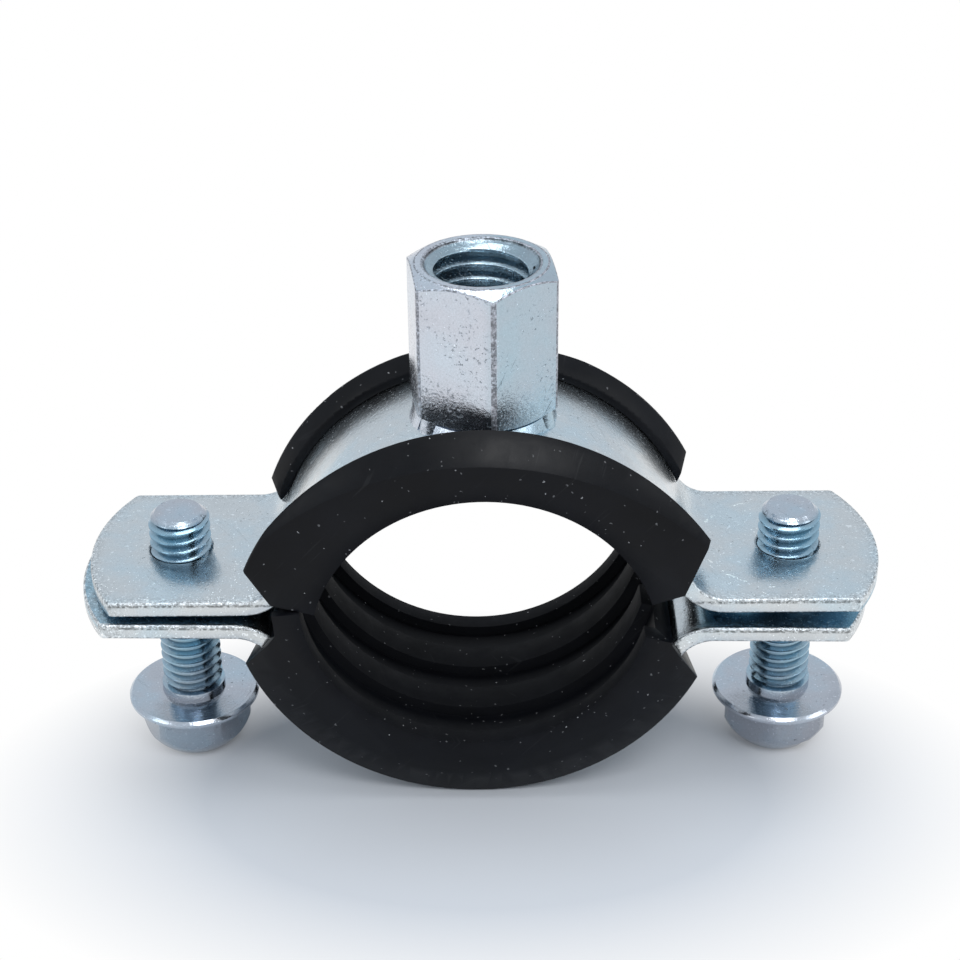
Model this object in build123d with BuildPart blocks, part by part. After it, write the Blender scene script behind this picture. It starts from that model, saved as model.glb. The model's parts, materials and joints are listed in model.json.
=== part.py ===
from build123d import *

import os
from math import atan2, cos, degrees, radians, sin, sqrt, tan

os.makedirs("parts", exist_ok=True)

# A rubber lined pipe clamp, in millimetres. X runs across the two ears, Y along the pipe and
# Z up. The origin is on the ground under the middle of the clamp.

# The two steel halves, bent from one size of strip
strip_width = 20.0
strip_thickness = 1.5
arch_drop = 5.1  # from an ear's outer face to the centre of its arch
bend_radius = 3.5  # inside the bend between arch and ear
ear_reach = 38.0  # from the middle to the tip of an ear
ear_end_radius = 18.5
ear_corner_radius = 0.6
ear_gap = 1.2  # between the upper and lower ears, in the middle
lower_tilt = 0.8  # degrees that the loose lower half hangs out of level
lower_shift = -0.85  # how far it lies to the left in its long holes
lower_slip = -0.3  # and how far to the front

# The screws
screw_inset = 8.6  # from the tip of an ear
shank_radius = 2.95
shank_top = 4.1  # above the upper ears
tapped_hole_gap = 0.05
long_hole_width = 7.4
long_hole_length = 10.0
flange_face_depth = 16.5  # from the top face of the upper ears
flange_face_radius = 6.2
flange_radius = 6.5
flange_thickness = 1.0
flange_edge_rise = 0.4  # from the flange's foot up to its widest
flange_edge_bevel = 0.3
collar_radius = 3.15
collar_height = 1.0
point_chamfer = 0.7
head_height = 4.8  # from the flange to the end
head_across_flats = 9.9
head_corner_radius = 5.5
head_end_radius = 3.6
head_round_height = 2.6
head_round_radius = 5.2
slot_width = 1.6
slot_depth = 1.4
left_hex_turn = -0.6  # degrees of a flat from the front
right_hex_turn = 20.3
left_slot_turn = 80.0  # degrees of the slot from the front
right_slot_turn = 35.0

# The combination nut on the crown
nut_across_flats = 12.9
nut_height = 14.2
nut_lift = 0.3  # from the crown of the arch to the nut's base
nut_turn = 8.1  # degrees of its front corner from the front
nut_face_radius = 6.1
nut_chamfer_angle = 30.0
large_thread_radius = 4.25  # tapping bore of the larger thread
large_thread_depth = 7.0
small_thread_radius = 3.4  # tapping bore of the smaller thread
mouth_radius = 5.4
weld_radius = 5.6
weld_inner_radius = 4.4
weld_foot_radius = 1.0
weld_foot_inset = 1.6
weld_gap = 0.02
weld_depth = 2.5  # of the weld below the nut's base, before the crown cuts it

# The rubber liners
pipe_radius = 16.4
liner_gap = 0.05  # between rubber and strip
halves_gap = 0.3  # between the lower liner and the upper strip
liner_side_cover = 0.9  # of the liner past the strip's edge
web_thickness = 1.6  # of the rubber between the ribs
rib_height = 1.1
rib_width = 3.4
rib_pitch = 6.9
edge_rib_width = 2.0
side_height = 3.6  # of the flat side above the pipe, before the lip leans in
tip_overlap = 2.8  # how far a lip reaches over the strip
tip_thickness = 0.8
lip_edge_radius = 0.3
rounded_crest = 0.2  # what this radius takes off a crest
front_lip_height = 3.6  # of the upper front crest above the strip's outer face, at its ends
front_lip_lean = 0.2  # of that crest in from the liner's side, at its ends
back_lip_height = 2.1
back_lip_lean = 1.9
lower_lip_height = 2.85  # of both lower crests, which the clamp stands on
lower_lip_lean = 1.5
crown_lean = 2.4  # of the upper crest where the bend draws it in most, at the crown
crown_lip_height = 2.05
lean_drop = 8.5  # from the centre of the arch down to that of the crown's lean
lean_shift = -0.4  # and to the left
end_cut_stretch = 3.0  # of the slanting cut at a liner's end, past the crest of the lips
end_cut_turn = 6.0  # degrees that this cut runs past the end
lip_cut_room = 10.0  # of this cut outside the strip

# Where each liner ends, in degrees from the crown: the base, the foot of the lips, their crests
upper_left_end = (74.8, 79.0, 67.3)
upper_right_end = (71.6, 73.2, 59.7)
lower_left_end = (84.3, 77.5, 68.8)
lower_right_end = (75.8, 75.0, 65.3)

cutter_reach = 60.0  # past all that it cuts

# Worked out from the sizes above
screw_spacing = 2 * (ear_reach - screw_inset)
liner_width = strip_width + 2 * liner_side_cover
inner_radius = pipe_radius + rib_height + web_thickness  # of the strip
arch_radius = inner_radius + strip_thickness
mating_face_drop = arch_drop - strip_thickness
lower_arch_height = arch_radius + lower_lip_height - rounded_crest
ear_face_height = lower_arch_height - mating_face_drop + ear_gap + strip_thickness
upper_arch_height = ear_face_height - arch_drop
head_ground_gap = ear_face_height - flange_face_depth - flange_thickness - head_height
bend_y = arch_drop + bend_radius  # of the bend's centre from the arch's
bend_x = sqrt((arch_radius + bend_radius) ** 2 - bend_y**2)
bend_angle = degrees(atan2(bend_y, bend_x))
tilt = radians(lower_tilt)
tapped_hole = 2 * (shank_radius + tapped_hole_gap)
bore_step = large_thread_radius - small_thread_radius
mouth_depth = mouth_radius - large_thread_radius

upper_lips = ((1, front_lip_height, front_lip_lean), (-1, back_lip_height, back_lip_lean))
lower_lips = ((1, lower_lip_height, lower_lip_lean), (-1, lower_lip_height, lower_lip_lean))

# Each half is drawn on a plane with its origin at the centre of the arch, x to the right,
# y out through the crown and z along the pipe
upper_half = Plane(origin=(0, 0, upper_arch_height), x_dir=(1, 0, 0), z_dir=(0, -1, 0))
lower_half = Plane(
    origin=(lower_shift, lower_slip, lower_arch_height),
    x_dir=(cos(tilt), 0, -sin(tilt)),
    z_dir=(0, 1, 0),
)


def plane_through_ears(half):
    """The plane that the ears' outline and holes are drawn on: x to the right, y along the pipe."""
    return Plane(origin=half.origin, x_dir=half.x_dir, z_dir=half.y_dir)


def plane_across_arch(half, angle):
    """The plane of a section at an angle to the left of the crown: x along the pipe, y outwards."""
    turn = radians(angle)
    sideways = half.x_dir * cos(turn) + half.y_dir * sin(turn)
    return Plane(origin=half.origin, x_dir=half.z_dir, z_dir=-sideways)


def bend_strip(half, width, gap=0.0, mode=Mode.ADD):
    """The bent strip of one half, seen along the pipe. With a gap, it is the room that it needs."""
    outer, inner = arch_radius + gap, inner_radius - gap
    bend_centre = (bend_x, bend_y)
    sweep = 90 - bend_angle
    with BuildSketch(half) as section:
        with BuildLine():
            CenterArc((0, 0), outer, bend_angle, sweep)
            CenterArc(bend_centre, bend_radius - gap, 180 + bend_angle, sweep)
            Line((bend_x, arch_drop + gap), (ear_reach + gap, arch_drop + gap))
            Line((ear_reach + gap, arch_drop + gap), (ear_reach + gap, mating_face_drop - gap))
            Line((ear_reach + gap, mating_face_drop - gap), (bend_x, mating_face_drop - gap))
            CenterArc(bend_centre, bend_radius + strip_thickness + gap, 180 + bend_angle, sweep)
            CenterArc((0, 0), inner, bend_angle, sweep)
            mirror(about=Plane.YZ)
        make_face()
    extrude(section.sketch, amount=width / 2 + gap, both=True, mode=mode)


def trim_ears(half):
    """Rounds the tips of both ears."""
    corner_x = ear_reach - ear_end_radius + sqrt(ear_end_radius**2 - (strip_width / 2) ** 2)
    with BuildSketch(plane_through_ears(half)) as outline:
        with BuildLine():
            Line((-corner_x, strip_width / 2), (corner_x, strip_width / 2))
            ThreePointArc(
                (corner_x, strip_width / 2), (ear_reach, 0), (corner_x, -strip_width / 2)
            )
            Line((corner_x, -strip_width / 2), (-corner_x, -strip_width / 2))
            ThreePointArc(
                (-corner_x, -strip_width / 2), (-ear_reach, 0), (-corner_x, strip_width / 2)
            )
        make_face()
        fillet(outline.vertices(), ear_corner_radius)
    extrude(outline.sketch, amount=cutter_reach, both=True, mode=Mode.INTERSECT)


def drill_ears(half, width, length):
    """One hole through each ear, long across the clamp where its length is more than its width."""
    with BuildSketch(plane_through_ears(half)) as holes:
        with GridLocations(screw_spacing, 0, 2, 1):
            Circle(width / 2)
            Rectangle(length - width, width)
            with GridLocations(length - width, 0, 2, 1):
                Circle(width / 2)
    extrude(holes.sketch, amount=cutter_reach, both=True, mode=Mode.SUBTRACT)


def sweep_liner(half, lips, left_end, right_end):
    """The rubber profile, swept round the arch. Each lip is a way along z, its height and its lean."""
    side = liner_width / 2
    web = pipe_radius + rib_height
    side_top = pipe_radius + side_height
    tip = strip_width / 2 - tip_overlap
    rib_start, rib_end = (rib_pitch - rib_width) / 2, (rib_pitch + rib_width) / 2
    with BuildSketch(plane_across_arch(half, left_end[0])) as profile:
        for way, lip_height, lip_lean in lips:
            with BuildLine():
                Polyline(
                    (0, web),
                    (way * rib_start, web),
                    (way * rib_start, pipe_radius),
                    (way * rib_end, pipe_radius),
                    (way * rib_end, web),
                    (way * (side - edge_rib_width), web),
                    (way * (side - edge_rib_width), pipe_radius),
                    (way * side, pipe_radius),
                    (way * side, side_top),
                    (way * (side - lip_lean), arch_radius + lip_height),
                    (way * tip, arch_radius + tip_thickness),
                    (way * tip, inner_radius),
                    (0, inner_radius),
                    close=True,
                )
            make_face()
        lip_corners = profile.vertices().filter_by(lambda v: v.Y > side_top + lip_edge_radius)
        fillet(lip_corners, lip_edge_radius)
    revolve(
        profile.sketch,
        axis=Axis(half.origin, half.z_dir),
        revolution_arc=-(left_end[0] + right_end[0]),
    )


def lean_crown(half):
    """Draws the lips in at the crown, by a cone on a lower axis that leaves their ends alone."""
    side = liner_width / 2
    axis_origin = half.origin + half.x_dir * lean_shift - half.y_dir * lean_drop
    side_reach = pipe_radius + side_height + lean_drop
    crest_reach = arch_radius + crown_lip_height + lean_drop
    middle_reach = crest_reach + (crest_reach - side_reach) * (side - crown_lean) / crown_lean
    with BuildSketch(Plane(origin=axis_origin, x_dir=half.z_dir, z_dir=-half.x_dir)) as profile:
        with BuildLine():
            Polyline((0, 0), (side, 0), (side, side_reach), (0, middle_reach))
            mirror(about=Plane.YZ)
        make_face()
    revolve(profile.sketch, axis=Axis(axis_origin, half.z_dir), mode=Mode.INTERSECT)


def set_lips_back(half, lip_height, end, way):
    """Cuts one end at a slant, from its square base back to the crests of its lips."""
    base, foot, crest = (radians(angle) for angle in end)
    beyond = base + radians(end_cut_turn)
    low = Vector(way * sin(foot), cos(foot)) * inner_radius
    high = Vector(way * sin(crest), cos(crest)) * (arch_radius + lip_height)
    past_end = Vector(way * sin(beyond), cos(beyond))
    with BuildSketch(half) as wedge:
        with BuildLine():
            Polyline(
                low,
                low + (high - low) * end_cut_stretch,
                past_end * (arch_radius + lip_cut_room),
                past_end * inner_radius,
                close=True,
            )
        make_face()
    extrude(wedge.sketch, amount=liner_width, both=True, mode=Mode.SUBTRACT)


def shape_screw(place_x, hex_turn, slot_turn):
    """A flange head screw, head down, with its plain shank standing for the thread."""
    flange_face = ear_face_height - flange_face_depth
    top = ear_face_height + shank_top
    flange_foot = flange_face - flange_thickness
    axis = Plane(origin=(place_x, 0, 0), x_dir=(1, 0, 0), z_dir=(0, -1, 0))
    with BuildSketch(Plane.XY.offset(head_ground_gap)) as hexagon:
        with Locations((place_x, 0)):
            RegularPolygon(head_across_flats / 2, 6, major_radius=False, rotation=hex_turn)
    extrude(hexagon.sketch, amount=flange_foot - head_ground_gap)
    with BuildSketch(axis) as head:
        with BuildLine():
            Line((0, head_ground_gap), (head_end_radius, head_ground_gap))
            RadiusArc(
                (head_end_radius, head_ground_gap),
                (head_corner_radius, head_ground_gap + head_round_height),
                -head_round_radius,
            )
            Line(
                (head_corner_radius, head_ground_gap + head_round_height),
                (head_corner_radius, flange_foot),
            )
            Line((head_corner_radius, flange_foot), (0, flange_foot))
            Line((0, flange_foot), (0, head_ground_gap))
        make_face()
    revolve(head.sketch, axis=Axis((place_x, 0, 0), (0, 0, 1)), mode=Mode.INTERSECT)
    with BuildSketch(axis) as shank:
        with BuildLine():
            Polyline(
                (0, flange_foot),
                (head_corner_radius, flange_foot),
                (flange_radius, flange_foot + flange_edge_rise),
                (flange_radius, flange_face - flange_edge_bevel),
                (flange_face_radius, flange_face),
                (collar_radius, flange_face),
                (collar_radius, flange_face + collar_height),
                (shank_radius, flange_face + collar_height),
                (shank_radius, top - point_chamfer),
                (shank_radius - point_chamfer, top),
                (0, top),
                close=True,
            )
        make_face()
    revolve(shank.sketch, axis=Axis((place_x, 0, 0), (0, 0, 1)))
    with BuildSketch(Plane.XY.offset(head_ground_gap)) as slot:
        with Locations(Location((place_x, 0), slot_turn)):
            Rectangle(slot_width, 2 * flange_radius)
    extrude(slot.sketch, amount=slot_depth, mode=Mode.SUBTRACT)


with BuildPart() as upper_band:
    bend_strip(upper_half, strip_width)
    trim_ears(upper_half)
    drill_ears(upper_half, tapped_hole, tapped_hole)

with BuildPart() as lower_band:
    bend_strip(lower_half, strip_width)
    trim_ears(lower_half)
    drill_ears(lower_half, long_hole_width, long_hole_length)

with BuildPart() as upper_liner:
    sweep_liner(upper_half, upper_lips, upper_left_end, upper_right_end)
    lean_crown(upper_half)
    bend_strip(upper_half, strip_width, liner_gap, Mode.SUBTRACT)
    set_lips_back(upper_half, front_lip_height, upper_left_end, -1)
    set_lips_back(upper_half, front_lip_height, upper_right_end, 1)

with BuildPart() as lower_liner:
    sweep_liner(lower_half, lower_lips, lower_left_end, lower_right_end)
    bend_strip(lower_half, strip_width, liner_gap, Mode.SUBTRACT)
    bend_strip(upper_half, strip_width, halves_gap, Mode.SUBTRACT)
    set_lips_back(lower_half, lower_lip_height, lower_left_end, -1)
    set_lips_back(lower_half, lower_lip_height, lower_right_end, 1)

with BuildPart() as coupling_nut:
    crown = upper_arch_height + arch_radius
    nut_base = crown + nut_lift
    nut_top = nut_base + nut_height
    corner_radius = nut_across_flats / sqrt(3)
    nut_chamfer_height = (corner_radius - nut_face_radius) * tan(radians(nut_chamfer_angle))
    corner_turn = nut_turn - 90
    with BuildSketch(Plane.XY.offset(nut_base)):
        RegularPolygon(corner_radius, 6, rotation=corner_turn)
    extrude(amount=nut_height)
    with BuildSketch(Plane.XZ):
        with BuildLine():
            Polyline(
                (0, nut_base),
                (nut_face_radius, nut_base),
                (corner_radius, nut_base + nut_chamfer_height),
                (corner_radius, nut_top - nut_chamfer_height),
                (nut_face_radius, nut_top),
                (0, nut_top),
                close=True,
            )
        make_face()
    revolve(axis=Axis.Z, mode=Mode.INTERSECT)
    # the weld fills the room between the flat base and the crown
    with BuildSketch(Plane.XY.offset(nut_base + nut_chamfer_height)):
        Circle(weld_radius)
        with PolarLocations(corner_radius - weld_foot_inset, 6, start_angle=corner_turn):
            Circle(weld_foot_radius)
    extrude(amount=-nut_chamfer_height - nut_lift - weld_depth)
    with BuildSketch(upper_half):
        Circle(arch_radius + weld_gap)
    extrude(amount=nut_across_flats, both=True, mode=Mode.SUBTRACT)
    # the larger thread's bore opens upwards, and the smaller one runs on from it
    with BuildSketch(Plane.XZ):
        with BuildLine():
            Polyline(
                (0, upper_arch_height),
                (weld_inner_radius, upper_arch_height),
                (weld_inner_radius, nut_base),
                (small_thread_radius, nut_base),
                (small_thread_radius, nut_top - large_thread_depth - bore_step),
                (large_thread_radius, nut_top - large_thread_depth),
                (large_thread_radius, nut_top - mouth_depth),
                (mouth_radius, nut_top),
                (0, nut_top),
                close=True,
            )
        make_face()
    revolve(axis=Axis.Z, mode=Mode.SUBTRACT)

with BuildPart() as left_screw:
    shape_screw(-screw_spacing / 2, left_hex_turn, left_slot_turn)

with BuildPart() as right_screw:
    shape_screw(screw_spacing / 2, right_hex_turn, right_slot_turn)

pieces = {
    "upper_band": upper_band,
    "upper_liner": upper_liner,
    "coupling_nut": coupling_nut,
    "lower_band": lower_band,
    "lower_liner": lower_liner,
    "left_screw": left_screw,
    "right_screw": right_screw,
}
for name, piece in pieces.items():
    piece.part.label = name
    export_step(piece.part, f"parts/{name}.step")
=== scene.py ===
import json
from math import cos, pi, radians, sin, sqrt, tan

import bmesh
import bpy
from bpy.props import FloatProperty, FloatVectorProperty, PointerProperty
from mathutils import Matrix, Vector

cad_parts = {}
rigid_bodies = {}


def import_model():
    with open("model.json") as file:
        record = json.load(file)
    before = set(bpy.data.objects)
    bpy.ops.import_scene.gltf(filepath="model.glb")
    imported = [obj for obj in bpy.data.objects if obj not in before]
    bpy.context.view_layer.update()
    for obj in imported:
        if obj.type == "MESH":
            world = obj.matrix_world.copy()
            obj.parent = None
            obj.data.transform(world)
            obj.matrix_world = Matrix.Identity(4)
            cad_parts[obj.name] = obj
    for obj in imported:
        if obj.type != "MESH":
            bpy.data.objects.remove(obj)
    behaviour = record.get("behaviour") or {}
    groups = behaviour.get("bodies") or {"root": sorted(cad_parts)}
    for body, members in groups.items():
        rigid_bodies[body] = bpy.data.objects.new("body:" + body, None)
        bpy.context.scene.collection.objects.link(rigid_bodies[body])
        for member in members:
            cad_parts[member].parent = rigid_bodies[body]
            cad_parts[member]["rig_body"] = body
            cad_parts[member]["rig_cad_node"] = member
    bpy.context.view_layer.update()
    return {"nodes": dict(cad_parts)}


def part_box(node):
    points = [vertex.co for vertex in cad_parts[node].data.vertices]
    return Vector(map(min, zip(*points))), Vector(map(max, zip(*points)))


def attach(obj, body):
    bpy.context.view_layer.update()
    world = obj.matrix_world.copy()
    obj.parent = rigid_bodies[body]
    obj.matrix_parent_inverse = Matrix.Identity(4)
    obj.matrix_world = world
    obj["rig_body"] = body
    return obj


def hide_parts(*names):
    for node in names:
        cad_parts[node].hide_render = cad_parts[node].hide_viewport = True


bl_info = {
    "name": "Rubber lined pipe clamp",
    "version": (1, 0, 0),
    "blender": (4, 5, 0),
    "location": "3D View > Sidebar > Pipe clamp",
    "description": "Dresses a rubber lined pipe clamp with threads, worn zinc plate and dusty rubber",
    "category": "Add Mesh",
}

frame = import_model()

NUT_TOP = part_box("coupling_nut")[1].z
LEFT_SCREW = sum(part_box("left_screw"), Vector()) / 2
RIGHT_SCREW = sum(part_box("right_screw"), Vector()) / 2
SCREW_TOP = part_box("left_screw")[1].z

SMOOTH_ANGLE = radians(32)
SCREW_SMOOTH_ANGLE = radians(34)
THREAD_FLANK = radians(30)  # of a flank, from the plane across the thread
NUT_AXIS = Vector()
SLACK = 1e-4  # room left where points are picked by a limit
BURIED = 5e-5  # how far a ridge reaches into the metal beside it
RUBBER_INSIDE = 0.0163  # the rubber's bore looks duller up to here
RUBBER_OUTSIDE = 0.0182  # and like the rest of the rubber from here
RUBBER_ROUGHNESS = 0.35


# ---------------------------------------------------------------- settings


class ClampSizes(bpy.types.PropertyGroup):
    strip_edge: FloatProperty(
        name="Strip edge", description="Radius of the strip's rolled edges", default=0.00022, unit="LENGTH"
    )
    rubber_edge: FloatProperty(
        name="Rubber edge", description="Radius of the rubber profile's edges", default=0.00022, unit="LENGTH"
    )
    nut_edge: FloatProperty(
        name="Nut edge", description="Radius of the nut's edges", default=0.0003, unit="LENGTH"
    )
    screw_edge: FloatProperty(
        name="Screw edge", description="Radius of the edges of a screw's head", default=0.0002, unit="LENGTH"
    )
    screw_pitch: FloatProperty(
        name="Screw pitch", description="Pitch of the screws' thread", default=0.001, unit="LENGTH"
    )
    screw_core: FloatProperty(
        name="Screw core", description="Radius at the root of the screws' thread",
        default=0.00243, unit="LENGTH",
    )
    large_pitch: FloatProperty(
        name="Large rod pitch", description="Pitch of the nut's larger thread", default=0.0015, unit="LENGTH"
    )
    small_pitch: FloatProperty(
        name="Small rod pitch", description="Pitch of the nut's smaller thread",
        default=0.00125, unit="LENGTH",
    )
    bore_growth: FloatProperty(
        name="Thread depth", description="Depth of the nut's threads", default=0.0008, unit="LENGTH"
    )


class ClampColours(bpy.types.PropertyGroup):
    strip: FloatVectorProperty(
        name="Strip", description="Zinc plate on the strip", subtype="COLOR", default=(0.66, 0.70, 0.725)
    )
    nut: FloatVectorProperty(
        name="Nut", description="Zinc plate on the nut", subtype="COLOR", default=(0.62, 0.655, 0.73)
    )
    nut_edge: FloatVectorProperty(
        name="Nut edge", description="Rubbed corners of the nut", subtype="COLOR", default=(0.44, 0.46, 0.52)
    )
    screw: FloatVectorProperty(
        name="Screw", description="Bright zinc plate on the screws",
        subtype="COLOR", default=(0.53, 0.56, 0.62),
    )
    rubber: FloatVectorProperty(
        name="Rubber", description="Black rubber", subtype="COLOR", default=(0.0026, 0.0031, 0.0048)
    )
    # this lighter colour on the rubber's rounded edges is a painted highlight; the edges' extra dust and
    # scuffs are wear
    rubber_edge: FloatVectorProperty(
        name="Rubber edge", description="Worn edges of the rubber",
        subtype="COLOR", default=(0.016, 0.017, 0.020),
    )
    # blue: bluer clouds in the nut's plate, also used as painted shade on the nut's right faces and in its
    # bore
    blue: FloatVectorProperty(
        name="Blue plate", description="Bluer clouds in the zinc plate",
        subtype="COLOR", default=(0.40, 0.52, 0.60),
    )
    # teal: blue passivation in random clouds, also used as painted shade between the ears and as a painted
    # reflection on the screws' shanks
    teal: FloatVectorProperty(
        name="Teal plate", description="Blue passivation in shaded places",
        subtype="COLOR", default=(0.27, 0.46, 0.58),
    )
    dust: FloatVectorProperty(
        name="Dust", description="Dust on the rubber", subtype="COLOR", default=(0.60, 0.61, 0.63)
    )
    floor: FloatVectorProperty(
        name="Floor", description="Plain pale floor", subtype="COLOR", default=(0.55, 0.575, 0.615)
    )


# ---------------------------------------------------------------- modelling by hand


def take_only(*pieces):
    """Selects these pieces alone, in object mode."""
    if bpy.context.object and bpy.context.object.mode != "OBJECT":
        bpy.ops.object.mode_set(mode="OBJECT")
    bpy.ops.object.select_all(action="DESELECT")
    for piece in pieces:
        piece.select_set(True)
    bpy.context.view_layer.objects.active = pieces[0]


def from_axis(place, axis=NUT_AXIS):
    """How far a place lies from a vertical axis."""
    return Vector((place.x - axis.x, place.y - axis.y)).length


def pick_points(piece, wanted):
    """Selects in edit mode the points whose place is wanted."""
    bpy.ops.object.mode_set(mode="EDIT")
    bpy.ops.mesh.select_mode(type="VERT")
    bpy.ops.mesh.select_all(action="DESELECT")
    shape = bmesh.from_edit_mesh(piece.data)
    for point in shape.verts:
        point.select_set(wanted(point.co))
    shape.select_flush(True)
    bmesh.update_edit_mesh(piece.data)


def copy_solid(node, name, *materials):
    """A merged copy of a solid, with flat faces in place of its loose triangles."""
    take_only(frame["nodes"][node])
    bpy.ops.object.duplicate()
    piece = bpy.context.object
    bpy.ops.object.parent_clear(type="CLEAR_KEEP_TRANSFORM")
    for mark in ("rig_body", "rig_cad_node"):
        if mark in piece:
            del piece[mark]
    piece.name = name
    piece.data.name = name
    piece.data.materials.clear()
    for material in materials:
        piece.data.materials.append(material)
    bpy.ops.object.mode_set(mode="EDIT")
    bpy.ops.mesh.select_all(action="SELECT")
    bpy.ops.mesh.remove_doubles(threshold=2e-6)
    bpy.ops.mesh.dissolve_limited(angle_limit=radians(0.3))
    bpy.ops.mesh.select_all(action="DESELECT")
    bpy.ops.object.mode_set(mode="OBJECT")
    bpy.ops.mesh.customdata_custom_splitnormals_clear()
    return piece


def round_edges(piece, width, segments=2, angle=28, wanted=None):
    """Rounds the edges sharper than an angle in degrees, and gives them the second material.

    wanted, if there is one, gives from an edge's two ends the share of the width that it gets.
    """
    take_only(piece)
    bevel = piece.modifiers.new("round edges", "BEVEL")
    bevel.width = width
    bevel.segments = segments
    bevel.miter_outer = "MITER_ARC"
    bevel.material = 1
    if wanted is None:
        bevel.limit_method = "ANGLE"
        bevel.angle_limit = radians(angle)
    else:
        shape = bmesh.new()
        shape.from_mesh(piece.data)
        weights = shape.edges.layers.float.new("bevel_weight_edge")
        for edge in shape.edges:
            sharp = len(edge.link_faces) == 2 and edge.calc_face_angle() > radians(angle)
            edge[weights] = sharp * wanted(edge.verts[0].co, edge.verts[1].co)
        shape.to_mesh(piece.data)
        shape.free()
        bevel.limit_method = "WEIGHT"
        bevel.use_clamp_overlap = False
    bpy.ops.object.modifier_apply(modifier=bevel.name)
    bpy.ops.object.shade_smooth_by_angle(angle=SMOOTH_ANGLE)


def wind_thread(name, section, place, pitch, turns, steps, material):
    """A closed ridge wound round the vertical axis through place, from (radius, height) points.

    turns need not be whole, and steps is how many a full turn has.
    """
    bpy.ops.object.select_all(action="DESELECT")
    bpy.ops.mesh.primitive_circle_add(vertices=len(section), radius=0.001, location=(0, 0, 0))
    ridge = bpy.context.object
    ridge.name = name
    ridge.data.name = name
    ridge.data.materials.append(material)
    for point, (radius, height) in zip(ridge.data.vertices, section):
        point.co = (radius, 0, height)
    wind = ridge.modifiers.new("wind", "SCREW")
    wind.axis = "Z"
    wind.angle = 2 * pi * turns
    wind.screw_offset = pitch * turns
    wind.iterations = 1
    wind.steps = round(steps * turns)
    wind.render_steps = wind.steps
    wind.use_smooth_shade = False
    bpy.ops.object.modifier_apply(modifier=wind.name)
    bpy.ops.object.mode_set(mode="EDIT")
    bpy.ops.mesh.select_all(action="SELECT")
    bpy.ops.mesh.remove_doubles(threshold=1e-6)
    bpy.ops.mesh.select_all(action="DESELECT")
    bpy.ops.mesh.select_non_manifold()
    bpy.ops.mesh.edge_face_add()
    bpy.ops.mesh.select_all(action="SELECT")
    bpy.ops.mesh.normals_make_consistent(inside=False)
    bpy.ops.transform.translate(value=place)
    bpy.ops.object.mode_set(mode="OBJECT")
    return ridge


def limit_radius(ridge, axis, limit, outwards):
    """Moves each point of a thread in or out to the radius that its height allows, so it runs out."""
    for point in ridge.data.vertices:
        flat = Vector((point.co.x - axis.x, point.co.y - axis.y))
        allowed = limit(point.co.z)
        if (flat.length < allowed) == outwards and flat.length > 0:
            flat *= allowed / flat.length
            point.co.x, point.co.y = axis.x + flat.x, axis.y + flat.y


def dress(piece, body, nodes):
    """Gives a finished piece its body, and hides the solids that it stands for."""
    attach(piece, body)
    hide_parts(*nodes)


# ---------------------------------------------------------------- node helpers


def mix_colours(tree, share, first, second):
    """Mixes two colour sockets by a share. Returns the mixed colour."""
    node = tree.nodes.new("ShaderNodeMix")
    node.data_type = "RGBA"
    tree.links.new(share, node.inputs["Factor"])
    # the colour sockets go by their place, because other kinds of value share their names
    tree.links.new(first, node.inputs[6])
    tree.links.new(second, node.inputs[7])
    return node.outputs[2]


def calculate(tree, operation, first, second=None, third=None, clamp=False):
    """A math node on sockets or numbers. Returns its output."""
    node = tree.nodes.new("ShaderNodeMath")
    node.operation = operation
    node.use_clamp = clamp
    for index, value in enumerate((first, second, third)):
        if value is None:
            continue
        if isinstance(value, (int, float)):
            node.inputs[index].default_value = value
        else:
            tree.links.new(value, node.inputs[index])
    return node.outputs[0]


def product(tree, first, *others):
    """Sockets or numbers, all multiplied."""
    for other in others:
        first = calculate(tree, "MULTIPLY", first, other)
    return first


def scaled(tree, vector, scale):
    """A vector or colour socket times a number or a socket."""
    node = tree.nodes.new("ShaderNodeVectorMath")
    node.operation = "SCALE"
    tree.links.new(vector, node.inputs[0])
    if isinstance(scale, float):
        node.inputs["Scale"].default_value = scale
    else:
        tree.links.new(scale, node.inputs["Scale"])
    return node.outputs[0]


def ramp(tree, source, low, high, low_out=0.0, high_out=1.0):
    """Maps a value from low..high to low_out..high_out, clamped."""
    node = tree.nodes.new("ShaderNodeMapRange")
    node.clamp = True
    tree.links.new(source, node.inputs["Value"])
    for name, value in (
        ("From Min", low), ("From Max", high), ("To Min", low_out), ("To Max", high_out)
    ):
        node.inputs[name].default_value = value
    return node.outputs["Result"]


def noise(tree, vector, scale, detail=3.0, roughness=0.5, distortion=0.0):
    """A noise on the coordinates. Returns its value."""
    node = tree.nodes.new("ShaderNodeTexNoise")
    tree.links.new(vector, node.inputs["Vector"])
    node.inputs["Scale"].default_value = scale
    node.inputs["Detail"].default_value = detail
    node.inputs["Roughness"].default_value = roughness
    node.inputs["Distortion"].default_value = distortion
    return node.outputs["Fac"]


def dots(tree, vector, scale, size, share):
    """Small round specks, 1 inside. size is their part of a cell, share the part of cells with one."""
    cells = tree.nodes.new("ShaderNodeTexVoronoi")
    tree.links.new(vector, cells.inputs["Vector"])
    cells.inputs["Scale"].default_value = scale
    split = tree.nodes.new("ShaderNodeSeparateColor")
    tree.links.new(cells.outputs["Color"], split.inputs[0])
    inside = ramp(tree, cells.outputs["Distance"], size, size * 0.6)
    return product(tree, inside, calculate(tree, "LESS_THAN", split.outputs[0], share))


def stretched(tree, vector, turn, squeeze):
    """The same coordinates, turned and then squeezed, so that a noise on them makes streaks."""
    node = tree.nodes.new("ShaderNodeMapping")
    node.vector_type = "TEXTURE"
    node.inputs["Rotation"].default_value = turn
    node.inputs["Scale"].default_value = squeeze
    tree.links.new(vector, node.inputs["Vector"])
    return node.outputs[0]


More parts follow.
